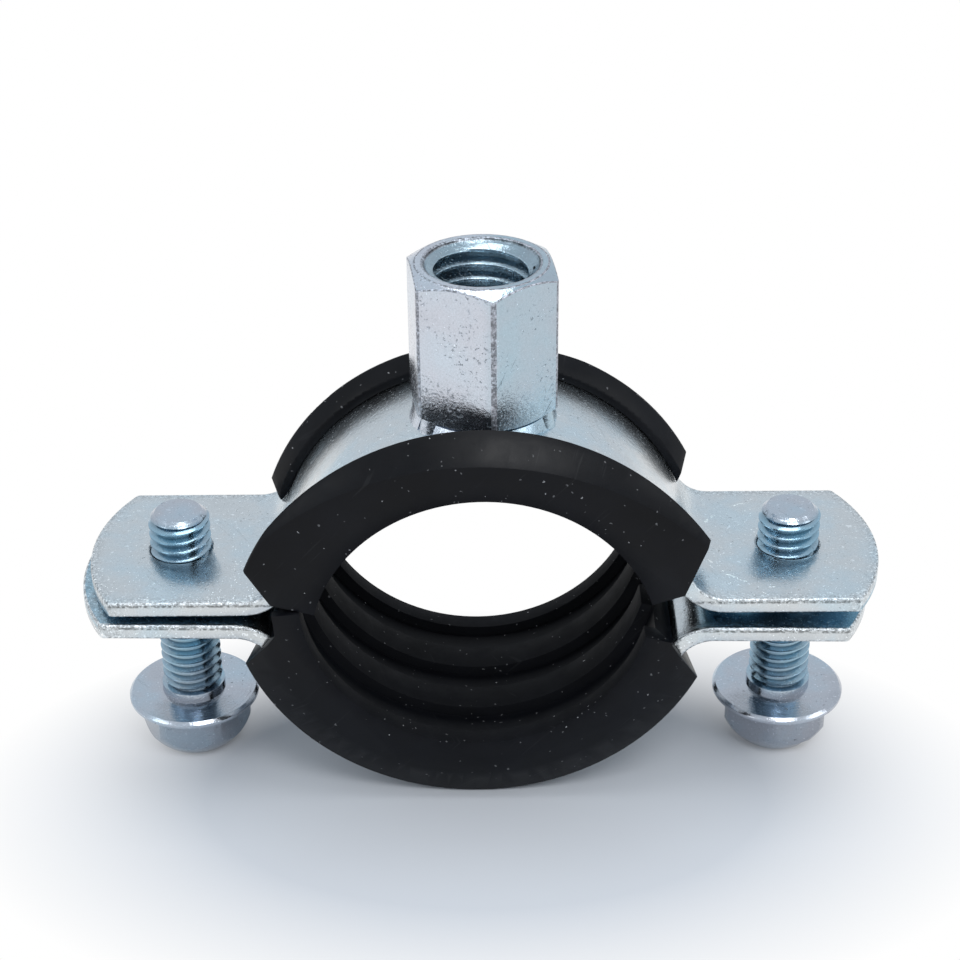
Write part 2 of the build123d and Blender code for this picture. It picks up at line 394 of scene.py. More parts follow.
def split_place(tree, vector):
    """The three coordinates of a place, each as a socket."""
    node = tree.nodes.new("ShaderNodeSeparateXYZ")
    tree.links.new(vector, node.inputs[0])
    return node.outputs[0], node.outputs[1], node.outputs[2]


def distance_from(tree, first, second, first_centre=0.0, second_centre=0.0):
    """How far a place is from an axis, from its two coordinates across that axis."""
    first = calculate(tree, "SUBTRACT", first, first_centre)
    second = calculate(tree, "SUBTRACT", second, second_centre)
    square = product(tree, first, first)
    return calculate(tree, "SQRT", calculate(tree, "MULTIPLY_ADD", second, second, square))


def new_group(name, inputs):
    """A finish with these inputs that gives a colour, a roughness and a height."""
    tree = bpy.data.node_groups.new(name, "ShaderNodeTree")
    for label, kind, default in inputs:
        socket = tree.interface.new_socket(name=label, in_out="INPUT", socket_type=kind)
        socket.default_value = default
    for label, kind in (
        ("Color", "NodeSocketColor"), ("Roughness", "NodeSocketFloat"), ("Height", "NodeSocketFloat")
    ):
        tree.interface.new_socket(name=label, in_out="OUTPUT", socket_type=kind)
    return tree, tree.nodes.new("NodeGroupInput"), tree.nodes.new("NodeGroupOutput")


def make_zinc_group():
    """Zinc plate: two cloudy tints, dark pits, bright grains, fine scratches and galled edges. Its darkening
    input carries painted shade and wear; its grains input also carries a painted highlight.
    """
    tree, given, out = new_group(
        "zinc plate",
        (
            ("Vector", "NodeSocketVector", (0, 0, 0)),
            ("Tint", "NodeSocketColor", (0.6, 0.66, 0.7, 1)),
            ("Second tint", "NodeSocketColor", (0.5, 0.6, 0.68, 1)),
            ("Second share", "NodeSocketFloat", 0.3),
            ("Clouds", "NodeSocketFloat", 0.3),
            ("Pits", "NodeSocketFloat", 0.4),
            ("Grains and painted highlight", "NodeSocketFloat", 0.4),
            ("Scratches", "NodeSocketFloat", 0.4),
            ("Galling", "NodeSocketFloat", 0.0),
            ("Painted shade and wear", "NodeSocketFloat", 0.0),
            ("Sheen", "NodeSocketFloat", 0.3),
        ),
    )
    vector = given.outputs["Vector"]
    galling = given.outputs["Galling"]
    cloud = noise(tree, vector, 150, 4, 0.6)
    frost = noise(tree, vector, 2600, 3, 0.65)
    fine = noise(tree, vector, 6500, 2, 0.6)
    patches = ramp(tree, noise(tree, vector, 330, 3, 0.6), 0.42, 0.62)

    pits = calculate(tree, "MULTIPLY_ADD", given.outputs["Pits"], 0.09, noise(tree, vector, 3300, 2, 0.6))
    pits = product(tree, ramp(tree, pits, 0.68, 0.75), patches)
    # real bright grains, and where a mask asks for it, a painted highlight
    grains = calculate(tree, "MULTIPLY_ADD", given.outputs["Grains and painted highlight"], 0.07, noise(tree, vector, 4300, 1, 0.5))
    grains = calculate(tree, "MULTIPLY_ADD", galling, 0.06, grains)
    grains = ramp(tree, grains, 0.72, 0.78)
    sparks = ramp(tree, noise(tree, vector, 1900, 1, 0.5), 0.70, 0.76)
    sparks = product(tree, sparks, ramp(tree, given.outputs["Grains and painted highlight"], 0.1, 0.8))
    grains = calculate(tree, "MAXIMUM", grains, sparks)
    rags = ramp(tree, noise(tree, vector, 3000, 4, 0.75), 0.42, 0.6)
    marks = noise(tree, stretched(tree, vector, (0.61, 0.0, 2.23), (1.0, 0.04, 1.0)), 170, 2, 0.5, 0.6)
    scratches = product(
        tree, ramp(tree, marks, 0.66, 0.69), ramp(tree, cloud, 0.47, 0.53), given.outputs["Scratches"]
    )

    shades = ramp(tree, cloud, 0.3, 0.7, -0.16, 0.14)
    tone = calculate(tree, "MULTIPLY_ADD", shades, given.outputs["Clouds"], 1.0)
    galled = calculate(tree, "MULTIPLY_ADD", ramp(tree, rags, 0.0, 1.0, -0.65, 0.35), galling, 1.0)
    tone = product(
        tree, tone, ramp(tree, fine, 0.3, 0.7, 0.93, 1.06), ramp(tree, pits, 0.0, 1.0, 1.0, 0.52), galled
    )
    tone = calculate(tree, "MULTIPLY_ADD", grains, 0.5, tone)
    tone = calculate(tree, "MULTIPLY_ADD", scratches, -0.5, tone)
    # the darkening input: painted shade in hollows and under parts, and wear on the nut's mouth
    tone = product(tree, tone, calculate(tree, "SUBTRACT", 1.0, given.outputs["Painted shade and wear"]))
    share = calculate(
        tree, "ADD", ramp(tree, cloud, 0.35, 0.65, -0.25, 0.25), given.outputs["Second share"], clamp=True
    )
    tint = mix_colours(tree, share, given.outputs["Tint"], given.outputs["Second tint"])
    tree.links.new(scaled(tree, tint, tone), out.inputs["Color"])

    rough = calculate(tree, "ADD", ramp(tree, cloud, 0.3, 0.7, -0.04, 0.05), given.outputs["Sheen"])
    rough = calculate(tree, "MULTIPLY_ADD", pits, 0.25, rough)
    rough = calculate(tree, "MULTIPLY_ADD", galling, 0.12, rough)
    rough = calculate(tree, "MULTIPLY_ADD", scratches, 0.12, rough, clamp=True)
    tree.links.new(rough, out.inputs["Roughness"])

    height = calculate(tree, "MULTIPLY_ADD", fine, 0.15, frost)
    height = calculate(tree, "MULTIPLY_ADD", pits, -0.6, height)
    height = calculate(tree, "MULTIPLY_ADD", grains, 0.4, height)
    height = calculate(tree, "MULTIPLY_ADD", scratches, -0.5, height)
    height = calculate(tree, "MULTIPLY_ADD", product(tree, rags, galling), 0.8, height)
    tree.links.new(height, out.inputs["Height"])
    return tree


def make_rubber_group():
    """Rubber: a dull skin with white dust in ragged specks and a few thin scuffs."""
    tree, given, out = new_group(
        "dusty rubber",
        (
            ("Vector", "NodeSocketVector", (0, 0, 0)),
            ("Rubber", "NodeSocketColor", (0.02, 0.02, 0.02, 1)),
            ("Dust", "NodeSocketColor", (0.5, 0.5, 0.5, 1)),
            ("Dust amount", "NodeSocketFloat", 0.5),
            ("Scuffs", "NodeSocketFloat", 0.4),
            ("Skin roughness", "NodeSocketFloat", 0.5),
        ),
    )
    vector = given.outputs["Vector"]
    warp = tree.nodes.new("ShaderNodeTexNoise")
    warp.inputs["Scale"].default_value = 2500
    tree.links.new(vector, warp.inputs["Vector"])
    warped = tree.nodes.new("ShaderNodeVectorMath")
    warped.operation = "ADD"
    tree.links.new(vector, warped.inputs[0])
    tree.links.new(scaled(tree, warp.outputs["Color"], 0.0005), warped.inputs[1])
    ragged = warped.outputs[0]
    small = product(tree, dots(tree, ragged, 900, 0.08, 0.24), 0.55)
    large = dots(tree, ragged, 420, 0.03, 0.26)
    faint = product(tree, dots(tree, ragged, 1700, 0.18, 0.15), 0.2)
    dust = calculate(tree, "MAXIMUM", small, large)
    dust = calculate(tree, "MAXIMUM", dust, faint)
    dust = product(tree, dust, given.outputs["Dust amount"])
    streaks = noise(tree, stretched(tree, vector, (0.3, 0.7, 0.5), (0.04, 1.0, 1.0)), 160, 2, 0.5, 0.5)
    scuffs = product(tree, ramp(tree, streaks, 0.68, 0.73), given.outputs["Scuffs"])
    cover = calculate(tree, "MULTIPLY_ADD", scuffs, 0.02, dust, clamp=True)
    bloom = ramp(tree, noise(tree, vector, 120, 5, 0.65), 0.35, 0.7, 0.75, 1.35)
    skin = scaled(tree, given.outputs["Rubber"], bloom)
    tree.links.new(mix_colours(tree, cover, skin, given.outputs["Dust"]), out.inputs["Color"])

    rough = ramp(tree, noise(tree, vector, 420, 4, 0.65), 0.3, 0.7, -0.07, 0.07)
    rough = calculate(tree, "ADD", rough, given.outputs["Skin roughness"])
    rough = calculate(tree, "MULTIPLY_ADD", dust, 0.3, rough, clamp=True)
    tree.links.new(rough, out.inputs["Roughness"])

    height = calculate(tree, "MULTIPLY_ADD", noise(tree, vector, 2600, 3, 0.6), 0.6, dust)
    tree.links.new(height, out.inputs["Height"])
    return tree


def new_material(name):
    """A material with one shader. Returns it, its tree, the shader and the object's coordinates."""
    material = bpy.data.materials.new(name)
    material.use_nodes = True
    tree = material.node_tree
    tree.nodes.clear()
    out = tree.nodes.new("ShaderNodeOutputMaterial")
    shader = tree.nodes.new("ShaderNodeBsdfPrincipled")
    tree.links.new(shader.outputs[0], out.inputs["Surface"])
    place = tree.nodes.new("ShaderNodeTexCoord")
    return material, tree, shader, place.outputs["Object"]


def place_finish(tree, shader, name, vector, values):
    """Puts a shared finish in a material, with its own values. Returns its node."""
    finish = tree.nodes.new("ShaderNodeGroup")
    finish.node_tree = bpy.data.node_groups[name]
    tree.links.new(vector, finish.inputs["Vector"])
    for label, value in values.items():
        finish.inputs[label].default_value = value
    tree.links.new(finish.outputs["Color"], shader.inputs["Base Color"])
    tree.links.new(finish.outputs["Roughness"], shader.inputs["Roughness"])
    return finish


def relief(tree, shader, height, strength, distance):
    """Raises the finish by its height, up to a distance."""
    bump = tree.nodes.new("ShaderNodeBump")
    bump.inputs["Strength"].default_value = strength
    bump.inputs["Distance"].default_value = distance
    tree.links.new(height, bump.inputs["Height"])
    tree.links.new(bump.outputs[0], shader.inputs["Normal"])


def zinc_material(name, colour, second, values, bump, masks=None, turned=None):
    """Zinc plate. masks are values that change over the piece, turned the centre of turning marks."""
    material, tree, shader, vector = new_material(name)
    tints = {"Tint": (*colour, 1), "Second tint": (*second, 1)}
    plate = place_finish(tree, shader, "zinc plate", vector, {**tints, **values})
    if masks is not None:
        for label, socket in masks(tree, vector).items():
            tree.links.new(socket, plate.inputs[label])
    shader.inputs["Metallic"].default_value = 1.0
    height = plate.outputs["Height"]
    if turned is not None:
        centre = tree.nodes.new("ShaderNodeMapping")
        centre.inputs["Location"].default_value = (-turned.x, -turned.y, 0)
        tree.links.new(vector, centre.inputs["Vector"])
        rings = tree.nodes.new("ShaderNodeTexWave")
        rings.wave_type = "RINGS"
        rings.rings_direction = "Z"
        rings.inputs["Scale"].default_value = 800
        rings.inputs["Distortion"].default_value = 1.5
        rings.inputs["Detail"].default_value = 2
        tree.links.new(centre.outputs[0], rings.inputs["Vector"])
        height = calculate(tree, "MULTIPLY_ADD", rings.outputs["Fac"], 0.22, height)
    relief(tree, shader, height, strength=bump, distance=0.00004)
    return material


def rubber_material(name, colour, dust, amount, scuffs, bore, inside_roughness):
    """Black rubber, duller inside its bore, whose axis is at x and z of bore."""
    material, tree, shader, vector = new_material(name)
    skin = place_finish(tree, shader, "dusty rubber", vector, {
        "Rubber": (*colour, 1), "Dust": (*dust, 1), "Dust amount": amount, "Scuffs": scuffs,
    })
    x, _, z = split_place(tree, vector)
    reach = distance_from(tree, x, z, *bore)
    inside = ramp(tree, reach, RUBBER_INSIDE, RUBBER_OUTSIDE, inside_roughness, RUBBER_ROUGHNESS)
    tree.links.new(inside, skin.inputs["Skin roughness"])
    shader.inputs["Specular IOR Level"].default_value = 0.15
    relief(tree, shader, skin.outputs["Height"], strength=0.35, distance=0.00003)
    return material


# ---------------------------------------------------------------- the pieces


class CLAMP_OT_finishes(bpy.types.Operator):
    """Builds the node groups that the zinc plate and the rubber share"""

    bl_idname = "pipe_clamp.finishes"
    bl_label = "Finishes"

    def execute(self, context):
        make_zinc_group()
        make_rubber_group()
        return {"FINISHED"}


class CLAMP_OT_bands(bpy.types.Operator):
    """Rounds and plates the two steel halves"""

    bl_idname = "pipe_clamp.bands"
    bl_label = "Steel halves"

    half_width = 0.010
    tip_radius = 0.0185  # of the ears' round ends
    tip_centre = 0.0195  # of that round, from the middle
    tip_start = 0.033
    line_drop = 0.00032  # of the dark line of painted shade on a side face, below its top edge
    gap_height = 0.0203  # of the middle of the gap between the ears
    gap_half = 0.0009
    imprint_centre = 0.0288
    imprint_radius = 0.008
    # for each half: its body, the height of its ears' top faces at the middle, and their fall to the right
    halves = {"upper_band": ("upper_half", 0.02235, 0.0), "lower_band": ("lower_half", 0.01964, 0.01396)}

    def execute(self, context):
        sizes, colours = context.scene.clamp_sizes, context.scene.clamp_colours
        for node, (body, height, fall) in self.halves.items():
            label = node.replace("_", " ")
            plate = zinc_material(
                label + " plate", colours.strip, colours.teal,
                {"Clouds": 0.8, "Pits": 0.45, "Scratches": 0.2, "Sheen": 0.23},
                bump=0.5, masks=self.rolled_strip(height, fall),
            )
            edge = zinc_material(
                label + " edge", colours.strip, colours.teal,
                {
                    "Second share": 0.0, "Clouds": 0.6, "Pits": 0.6, "Grains and painted highlight": 0.9, "Galling": 0.8,
                    "Sheen": 0.2,
                },
                bump=0.8,
            )
            band = copy_solid(node, node + "_plated", plate, edge)
            round_edges(band, sizes.strip_edge, segments=3)
            dress(band, body, [node])
        return {"FINISHED"}

    def rolled_strip(self, height, fall):
        """Grains near the sides and tips, a dark line of painted shade under the top edge, a washer's
        imprint, and teal as painted shade between the ears.
        """

        def masks(tree, vector):
            x, y, z = split_place(tree, vector)
            across = calculate(tree, "ABSOLUTE", y)
            along = calculate(tree, "ABSOLUTE", x)
            face = ramp(tree, across, self.half_width - 0.00018, self.half_width - 0.00008)
            off_face = calculate(tree, "SUBTRACT", 1.0, face)

            side = ramp(tree, across, self.half_width - 0.0014, self.half_width - 0.0004)
            from_tip = distance_from(tree, along, y, self.tip_centre)
            tip = product(
                tree, ramp(tree, from_tip, self.tip_radius - 0.0013, self.tip_radius - 0.0003),
                ramp(tree, along, self.tip_start, self.tip_start + 0.0005),
            )
            near = calculate(tree, "MAXIMUM", product(tree, side, off_face), tip)

            # painted shade: a dark line just below the top edge of each side face
            below_top = calculate(tree, "MULTIPLY_ADD", x, fall, z)
            below_top = calculate(tree, "SUBTRACT", height - self.line_drop, below_top)
            ragged = ramp(tree, noise(tree, vector, 2400, 3, 0.7), 0.4, 0.55)
            line = ramp(tree, calculate(tree, "ABSOLUTE", below_top), 0.00022, 0.00006)
            line = product(tree, line, face, ragged)

            ring = distance_from(tree, x, y, self.imprint_centre)
            ring = calculate(tree, "ABSOLUTE", calculate(tree, "SUBTRACT", ring, self.imprint_radius))
            ring = product(
                tree, ramp(tree, ring, 0.00018, 0.00008),
                ramp(tree, x, self.imprint_centre + 0.003, self.imprint_centre),
                ramp(tree, noise(tree, vector, 500, 2, 0.5), 0.45, 0.52),
            )

            # painted shade: teal in the gap between the ears
            between = calculate(tree, "MULTIPLY_ADD", x, 0.5 * fall, z)
            between = calculate(tree, "ABSOLUTE", calculate(tree, "SUBTRACT", between, self.gap_height))
            between = product(tree, ramp(tree, between, self.gap_half + 0.0003, self.gap_half), off_face)

            grains = calculate(tree, "MULTIPLY_ADD", near, 0.8, 0.55)
            return {
                "Second share": calculate(tree, "MULTIPLY_ADD", between, 0.7, 0.08),
                "Galling": product(tree, near, 0.4),
                "Grains and painted highlight": calculate(tree, "MULTIPLY_ADD", ring, 3.0, grains),
                "Painted shade and wear": product(tree, line, 0.7),
            }

        return masks


class CLAMP_OT_liners(bpy.types.Operator):
    """Rounds the edges of the two rubber profiles"""

    bl_idname = "pipe_clamp.liners"
    bl_label = "Rubber liners"

    # for each liner: its body, and x and z of the axis of its bore
    liners = {
        "upper_liner": ("upper_half", (0.0, 0.01725)),
        "lower_liner": ("lower_half", (-0.00085, 0.02325)),
    }

    def execute(self, context):
        sizes, colours = context.scene.clamp_sizes, context.scene.clamp_colours
        for node, (body, bore) in self.liners.items():
            label = node.replace("_", " ")
            rubber = rubber_material(
                label + " rubber", colours.rubber, colours.dust, amount=0.8, scuffs=0.5,
                bore=bore, inside_roughness=0.8,
            )
            # the edge material: lighter rubber as a painted highlight, with more dust and scuffs as wear
            edge = rubber_material(
                label + " edge", colours.rubber_edge, colours.dust, amount=0.9, scuffs=1.0,
                bore=bore, inside_roughness=0.45,
            )
            liner = copy_solid(node, node + "_moulded", rubber, edge)
            round_edges(liner, sizes.rubber_edge, segments=2, angle=35)
            dress(liner, body, [node])
        return {"FINISHED"}


class CLAMP_OT_nut(bpy.types.Operator):
    """Cuts the two threads of the combination nut and rounds its edges"""

    bl_idname = "pipe_clamp.nut"
    bl_label = "Combination nut"

    near = 6e-5  # a point this near to a radius counts as lying on it
    large_radius = 0.00425
    small_radius = 0.0034
    large_depth = 0.007
    large_floor = NUT_TOP - large_depth  # the step down to the smaller bore starts here
    small_top = large_floor - (large_radius - small_radius)
    mouth_radius = 0.0054
    mouth_slope = 1.8
    bore_edge = 0.0051  # the chamfer at the mouth looks worn from here, and the bore inside this is painted darker and bluer as painted shade
    base = 0.03815

    # where the ridges of the threads start and end, and the highest that a ridge may stand
    large_start = 0.045175
    large_end = NUT_TOP - 0.0002
    small_start = base + 0.0007
    small_end = small_top + 0.0002
    ridge_top = NUT_TOP - 0.00036
    thread_steps = 64
    ridge_root = 6e-5  # how far a ridge starts behind the root of its thread
    ridge_round = 0.00006

    corner_radius = 0.00745
    front_corner = radians(8.1 - 90)
    top_share = 0.35  # of the rounding that the edges of the top get

    foot_inset = 0.0016
    weld_radius = 0.0056
    weld_fill = 0.0064
    fill_spread = 1.08
    foot_spread = 1.3
    arch_height = 0.01725
    crown_radius = 0.0206
    weld_sink = 0.00003  # how deep the foot of the weld lies in the crown

    def execute(self, context):
        sizes, colours = context.scene.clamp_sizes, context.scene.clamp_colours
        growth = sizes.bore_growth
        plate = zinc_material(
            "nut plate", colours.nut, colours.blue, {"Clouds": 0.8, "Sheen": 0.18},
            bump=0.9, masks=self.wear_and_painted_light,
        )
        edge = zinc_material(
            "nut edge", colours.nut_edge, colours.blue,
            {"Second share": 0.1, "Clouds": 0.5, "Pits": 0.9, "Grains and painted highlight": 0.7, "Galling": 0.9, "Sheen": 0.2},
            bump=0.9,
        )
        nut = copy_solid("coupling_nut", "coupling_nut_threaded", plate, edge)
        self.widen(nut, self.large_radius, growth, self.large_floor - SLACK, NUT_TOP)
        self.widen(nut, self.small_radius, growth, self.base - SLACK, self.small_top + SLACK)
        self.lift_mouth(nut, growth)
        self.flare_weld(nut)
        round_edges(nut, sizes.nut_edge, segments=3, angle=16, wanted=self.corner_share)
        large = self.cut_thread(
            "large thread", self.large_radius, growth, sizes.large_pitch,
            self.large_start, self.large_end, plate,
        )
        mouth = self.mouth_radius + BURIED
        limit_radius(large, NUT_AXIS, lambda z: mouth - self.mouth_slope * (NUT_TOP - z), True)
        for point in large.data.vertices:
            point.co.z = min(point.co.z, self.ridge_top)
        small = self.cut_thread(
            "small thread", self.small_radius, growth, sizes.small_pitch,
            self.small_start, self.small_end, plate,
        )
        limit_radius(small, NUT_AXIS, lambda z: self.small_radius + BURIED + z - self.small_top, True)
        take_only(nut, large, small)
        bpy.ops.object.join()
        bpy.ops.object.shade_smooth_by_angle(angle=SMOOTH_ANGLE)
        dress(nut, "upper_half", ["coupling_nut"])
        return {"FINISHED"}

    def wear_and_painted_light(self, tree, vector):
        """Bluer to the right as painted shade, and pitted towards the base. Dark in the threads and under the
        base as painted shade, with a painted highlight on the large thread's crests.
        """
        x, y, z = split_place(tree, vector)
        reach = distance_from(tree, x, y)
        low = ramp(tree, z, self.base + 0.006, self.base + 0.001)
        right = ramp(tree, x, 0.0, 0.0016)
        patchy = ramp(tree, noise(tree, vector, 230, 2, 0.5), 0.42, 0.5)

        # painted shade: the bore is darker and gets the bluer tint
        bore = ramp(tree, reach, self.bore_edge + 0.00015, self.bore_edge)
        cone = ramp(tree, reach, self.mouth_radius + 0.0002, self.mouth_radius - 0.0001)
        cone = calculate(tree, "SUBTRACT", cone, bore, clamp=True)
        # painted highlight: bright grains on the crests of the large thread
        crest = product(
            tree, ramp(tree, reach, self.large_radius + 8e-5, self.large_radius + 3e-5),
            ramp(tree, reach, self.large_radius - 8e-5, self.large_radius - 3e-5),
        )
        # painted shade: darker under the base, inside the weld
        under = product(
            tree, ramp(tree, z, self.base + 0.0001, self.base - 0.0001),
            ramp(tree, reach, self.weld_fill - 0.0001, self.weld_fill - 0.0003),
        )

        painted_shade_and_wear = calculate(tree, "SUBTRACT", product(tree, bore, 0.15), crest, clamp=True)
        painted_shade_and_wear = calculate(tree, "MAXIMUM", painted_shade_and_wear, product(tree, under, 0.2))
        painted_shade_and_wear = calculate(tree, "MAXIMUM", painted_shade_and_wear, product(tree, cone, patchy, 0.5))
        # painted shade: the right faces get more of the bluer, darker tint
        share = calculate(tree, "MULTIPLY_ADD", right, 0.72, 0.1)
        pits = calculate(tree, "MULTIPLY_ADD", right, -0.45, 0.95)
        return {
            "Second share": calculate(tree, "MAXIMUM", share, bore),
            "Pits": calculate(tree, "MULTIPLY_ADD", low, 0.8, pits),
            "Scratches": product(tree, right, 0.9),
            "Galling": calculate(tree, "MAXIMUM", cone, product(tree, low, 0.12)),
            "Grains and painted highlight": product(tree, crest, 2.5),
            "Painted shade and wear": calculate(tree, "MULTIPLY_ADD", cone, 0.25, painted_shade_and_wear, clamp=True),
        }

    def corner_share(self, first, second):
        """Rounds the hexagon's corners in full, the edges of its top in part, and the rest not at all."""
        inner = min(from_axis(first), from_axis(second))
        if abs(first.z - second.z) > 0.01 and inner > self.corner_radius - SLACK:
            return 1.0
        at_top = min(first.z, second.z) > NUT_TOP - 0.002
        return self.top_share if at_top and inner > self.mouth_radius - SLACK else 0.0

    def flare_weld(self, nut):
        """Fills the room under the base with weld, and spreads each corner's foot over the crown."""
        feet = [
            Vector((cos(self.front_corner + turn * pi / 3), sin(self.front_corner + turn * pi / 3)))
            * (self.corner_radius - self.foot_inset)
            for turn in range(6)
        ]
        for point in nut.data.vertices:
            flat = Vector((point.co.x, point.co.y))
            if point.co.z > self.base + 1e-5:
                continue
            at_crown = point.co.z < self.base - SLACK
            if abs(flat.length - self.weld_radius) < self.near:
                flat *= self.weld_fill / self.weld_radius * (self.fill_spread if at_crown else 1.0)
            elif flat.length > self.weld_radius:
                foot = min(feet, key=lambda centre: (centre - flat).length)
                flat = foot + (flat - foot) * (self.foot_spread if at_crown else 1.0)
            else:
                continue
            point.co.x, point.co.y = flat
            if at_crown:
                point.co.z = self.arch_height + sqrt(self.crown_radius**2 - flat.x**2) - self.weld_sink

    def widen(self, nut, radius, growth, low, high):
        """Turns the plain tapping bore out to the root of its thread."""
        take_only(nut)
        pick_points(nut, lambda co: abs(from_axis(co) - radius) < self.near and low < co.z < high)
        grown = (radius + growth) / radius
        bpy.ops.transform.resize(value=(grown, grown, 1), center_override=(0, 0, 0))
        bpy.ops.object.mode_set(mode="OBJECT")

    def lift_mouth(self, nut, growth):
        """Keeps the chamfer at the mouth at its slope over the wider bore."""
        take_only(nut)
        wide = self.large_radius + growth
        low, high = NUT_TOP - 0.002, NUT_TOP - 0.001
        pick_points(nut, lambda co: abs(from_axis(co) - wide) < self.near and low < co.z < high)
        bpy.ops.transform.translate(value=(0, 0, growth))
        bpy.ops.object.mode_set(mode="OBJECT")
        pick_points(nut, lambda co: from_axis(co) < wide + self.near and co.z > NUT_TOP - 0.0006)
        bpy.ops.mesh.remove_doubles(threshold=8e-5)
        bpy.ops.object.mode_set(mode="OBJECT")

    def cut_thread(self, name, radius, growth, pitch, low, high, material):
        """The ridge that stands inwards in a bore, with rounded edges on its crest."""
        crest, flank = pitch * 0.09, growth * tan(THREAD_FLANK)
        outer = radius + growth + self.ridge_root
        shoulder = crest + self.ridge_round * tan(THREAD_FLANK)
        tip = crest - self.ridge_round * 0.6
        section = (
            (outer, -crest - flank), (radius + self.ridge_round, -shoulder), (radius, -tip),
            (radius, tip), (radius + self.ridge_round, shoulder), (outer, crest + flank),
        )
        turns = (high - low) / pitch
        return wind_thread(name, section, (0, 0, low), pitch, turns, self.thread_steps, material)


class CLAMP_OT_screws(bpy.types.Operator):
    """Winds the thread of each screw and rounds its head"""

    bl_idname = "pipe_clamp.screws"
    bl_label = "Flange screws"

    near = 3e-5  # a point this near to a radius counts as lying on it
    shank_radius = 0.00295
    collar_top = 0.00685
    head_top = 0.0048  # the head is painted darker below this, as painted shade
    point_chamfer = 0.0007
    run_out = 0.6  # how fast the thread rises out of the core, for each unit of height
    thread_steps = 56

    def execute(self, context):
        sizes, colours = context.scene.clamp_sizes, context.scene.clamp_colours
        for node, centre in (("left_screw", LEFT_SCREW), ("right_screw", RIGHT_SCREW)):
            label = node.replace("_", " ")
            plate = zinc_material(
                label + " plate", colours.screw, colours.teal,
                {"Clouds": 0.9, "Pits": 0.4, "Scratches": 0.2, "Sheen": 0.17},
                bump=0.35, masks=self.painted_shank_reflection_and_shade(centre), turned=centre,
            )
            edge = zinc_material(
                label + " edge", colours.screw, colours.teal,
                {
                    "Second share": 0.2, "Clouds": 0.6, "Pits": 0.6, "Grains and painted highlight": 0.6, "Galling": 0.6,
                    "Sheen": 0.18,
                },
                bump=0.6,
            )
            screw = copy_solid(node, node + "_threaded", plate, edge)
            self.slim_shank(screw, centre, sizes)
            round_edges(screw, sizes.screw_edge, segments=2, angle=24)
            thread = self.wind_shank(node + " thread", centre, sizes, plate)
            take_only(screw, thread)
            bpy.ops.object.join()
            bpy.ops.object.shade_smooth_by_angle(angle=SCREW_SMOOTH_ANGLE)
            dress(screw, node, [node])
        return {"FINISHED"}

    def painted_shank_reflection_and_shade(self, centre):
        """Bluer on the shank as a painted reflection, and darker on the lower head and at the root of the
        thread as painted shade.
        """

        def masks(tree, vector):
            x, y, z = split_place(tree, vector)
            reach = distance_from(tree, x, y, centre.x, centre.y)
            # painted reflection: the shank gets more of the teal tint
            shank = product(
                tree, ramp(tree, reach, self.shank_radius + 0.0004, self.shank_radius + 0.0001),
                ramp(tree, z, self.collar_top - 0.0008, self.collar_top + 0.0002),
                ramp(tree, z, SCREW_TOP - 0.0002, SCREW_TOP - 0.0008),
            )
            # painted shade: darker at the root of the thread
            root = ramp(tree, reach, self.shank_radius - 0.0001, self.shank_radius - 0.0004)
            # painted shade: darker on the head below head_top
            head = ramp(tree, z, self.head_top + 0.0004, self.head_top - 0.0004, 0.0, 0.22)
            return {
                "Second share": calculate(tree, "MULTIPLY_ADD", shank, 0.6, 0.1),
                "Painted shade and wear": calculate(tree, "MAXIMUM", product(tree, shank, root, 0.3), head),
            }

        return masks

    def slim_shank(self, screw, centre, sizes):
        """Turns the plain shank down to the core of its thread, and keeps the slope of its point."""
        core = sizes.screw_core
        foot, point = self.collar_top - SLACK, SCREW_TOP - 0.001
        take_only(screw)
        pick_points(
            screw, lambda co: abs(from_axis(co, centre) - self.shank_radius) < self.near and co.z > foot
        )
        slim = core / self.shank_radius
        bpy.ops.transform.resize(value=(slim, slim, 1), center_override=(centre.x, centre.y, 0))
        bpy.ops.object.mode_set(mode="OBJECT")
        pick_points(screw, lambda co: abs(from_axis(co, centre) - core) < self.near and co.z > point)
        bpy.ops.transform.translate(value=(0, 0, self.shank_radius - core))
        bpy.ops.object.mode_set(mode="OBJECT")

    def wind_shank(self, name, centre, sizes, material):
        """The thread's ridge on a shank, which rises out of the core and ends on the point."""
        pitch, core = sizes.screw_pitch, sizes.screw_core
        crest, root = pitch * 0.07, pitch * 0.43
        inner = core - BURIED
        section = (
            (inner, -root), (self.shank_radius, -crest), (self.shank_radius, crest), (inner, root)
        )
        low = self.collar_top - 0.0002
        turns = (SCREW_TOP - 0.0004 - low) / pitch
        place = (centre.x, centre.y, low)
        thread = wind_thread(name, section, place, pitch, turns, self.thread_steps, material)
        top = self.shank_radius - self.point_chamfer

        def outer(z):
            return min(top + (SCREW_TOP - z), core + max(0, z - low) * self.run_out)

        limit_radius(thread, centre, outer, False)
        return thread


